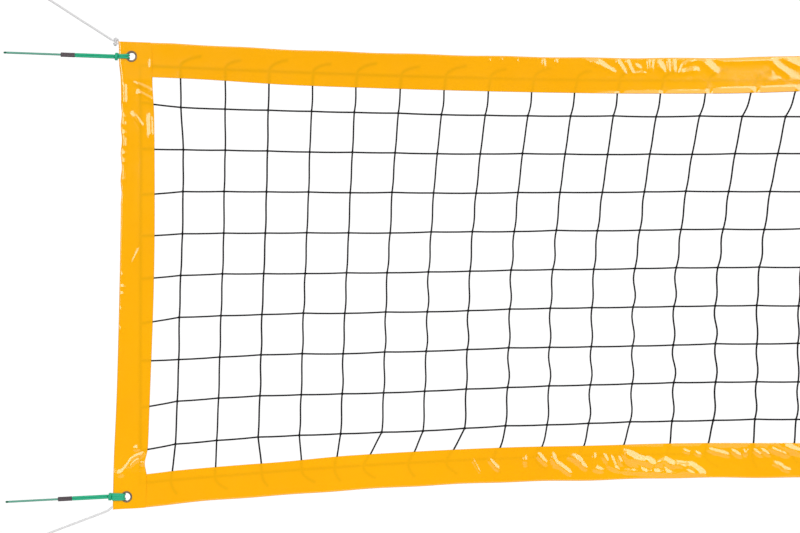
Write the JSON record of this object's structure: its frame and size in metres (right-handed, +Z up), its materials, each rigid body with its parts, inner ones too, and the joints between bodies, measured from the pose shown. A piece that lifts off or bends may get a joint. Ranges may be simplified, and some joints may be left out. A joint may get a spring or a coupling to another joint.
{
  "type": "volleyball net",
  "caption": "Beach volleyball net: black square netting in folded yellow vinyl bands, with corner grommets, green cord ties and hem ropes that end in knotted eyes.",
  "frame": {"origin": "middle of the net: midway between its two ends and midway between the heights of its top and bottom corners, in the plane of the net", "axes": "+X along the net, +Z up, +Y through the net to its back"},
  "size_m": [9.0452, 0.0198, 1.3589],
  "materials": {
    "netting_twine": "matte knotted polyethylene twine",
    "vinyl": "glossy slightly translucent PVC sheet",
    "white_rope": "twisted synthetic rope",
    "green_cord": "braided polyester cord",
    "ferrule_metal": "satin dark sleeve",
    "grommet_metal": "dull bronzed brass",
    "sealed_tip": "melted cord end"
  },
  "bodies": {
    "root": {"net_mesh": "netting_twine", "top_band": "vinyl", "bottom_band": "vinyl", "left_band": "vinyl", "right_band": "vinyl", "head_rope": "white_rope", "foot_rope": "white_rope", "rope_knot_left": "white_rope", "rope_knot_right": "white_rope", "eyelet_top_left": "grommet_metal", "washer_top_left": "grommet_metal", "tie_loop_top_left": "green_cord", "eyelet_top_right": "grommet_metal", "washer_top_right": "grommet_metal", "tie_loop_top_right": "green_cord", "eyelet_bottom_left": "grommet_metal", "washer_bottom_left": "grommet_metal", "tie_loop_bottom_left": "green_cord", "eyelet_bottom_right": "grommet_metal", "washer_bottom_right": "grommet_metal", "tie_loop_bottom_right": "green_cord"},
    "tie_top_left": {"tie_cord_top_left": "green_cord", "ferrule_top_left": "ferrule_metal"},
    "tail_top_left": {"tie_tail_top_left": "green_cord", "tie_tip_top_left": "sealed_tip"},
    "lead_top_left": {"rope_lead_top_left": "white_rope", "rope_eye_top_left": "white_rope"},
    "tie_top_right": {"tie_cord_top_right": "green_cord", "ferrule_top_right": "ferrule_metal"},
    "tail_top_right": {"tie_tail_top_right": "green_cord", "tie_tip_top_right": "sealed_tip"},
    "lead_top_right": {"rope_lead_top_right": "white_rope", "rope_eye_top_right": "white_rope"},
    "tie_bottom_left": {"tie_cord_bottom_left": "green_cord", "ferrule_bottom_left": "ferrule_metal"},
    "tail_bottom_left": {"tie_tail_bottom_left": "green_cord", "tie_tip_bottom_left": "sealed_tip"},
    "lead_bottom_left": {"rope_lead_bottom_left": "white_rope", "rope_eye_bottom_left": "white_rope"},
    "tie_bottom_right": {"tie_cord_bottom_right": "green_cord", "ferrule_bottom_right": "ferrule_metal"},
    "tail_bottom_right": {"tie_tail_bottom_right": "green_cord", "tie_tip_bottom_right": "sealed_tip"},
    "lead_bottom_right": {"rope_lead_bottom_right": "white_rope", "rope_eye_bottom_right": "white_rope"}
  },
  "joints": [
    {"name": "tie_top_left_swing", "type": "hinge", "parent": "root", "child": "tie_top_left", "pos_m": [-4.25953, 0, 0.51992], "axis": [0, 1, 0], "range_deg": [-80, 15]},
    {"name": "tail_top_left_swing", "type": "hinge", "parent": "tie_top_left", "child": "tail_top_left", "pos_m": [-4.38874, 0, 0.52466], "axis": [0.0366, 0, 0.9993], "range_deg": [-80, 80]},
    {"name": "lead_top_left_swing", "type": "hinge", "parent": "root", "child": "lead_top_left", "pos_m": [-4.2639, 0, 0.5592], "axis": [0, 1, 0], "range_deg": [-12, 50]},
    {"name": "tie_top_right_swing", "type": "hinge", "parent": "root", "child": "tie_top_right", "pos_m": [4.25953, 0, 0.51992], "axis": [0, -1, 0], "range_deg": [-80, 15]},
    {"name": "tail_top_right_swing", "type": "hinge", "parent": "tie_top_right", "child": "tail_top_right", "pos_m": [4.38874, 0, 0.52466], "axis": [-0.0366, 0, 0.9993], "range_deg": [-80, 80]},
    {"name": "lead_top_right_swing", "type": "hinge", "parent": "root", "child": "lead_top_right", "pos_m": [4.2639, 0, 0.5592], "axis": [0, -1, 0], "range_deg": [-12, 50]},
    {"name": "tie_bottom_left_swing", "type": "hinge", "parent": "root", "child": "tie_bottom_left", "pos_m": [-4.27504, 0, -0.52743], "axis": [0, 1, 0], "range_deg": [-10, 80]},
    {"name": "tail_bottom_left_swing", "type": "hinge", "parent": "tie_bottom_left", "child": "tail_bottom_left", "pos_m": [-4.39518, 0, -0.53373], "axis": [-0.0523, 0, 0.9986], "range_deg": [-80, 80]},
    {"name": "lead_bottom_left_swing", "type": "hinge", "parent": "root", "child": "lead_bottom_left", "pos_m": [-4.2646, 0, -0.5528], "axis": [0, 1, 0], "range_deg": [-50, 8]},
    {"name": "tie_bottom_right_swing", "type": "hinge", "parent": "root", "child": "tie_bottom_right", "pos_m": [4.27504, 0, -0.52743], "axis": [0, -1, 0], "range_deg": [-10, 80]},
    {"name": "tail_bottom_right_swing", "type": "hinge", "parent": "tie_bottom_right", "child": "tail_bottom_right", "pos_m": [4.39518, 0, -0.53373], "axis": [0.0523, 0, 0.9986], "range_deg": [-80, 80]},
    {"name": "lead_bottom_right_swing", "type": "hinge", "parent": "root", "child": "lead_bottom_right", "pos_m": [4.2646, 0, -0.5528], "axis": [0, -1, 0], "range_deg": [-50, 8]}
  ]
}
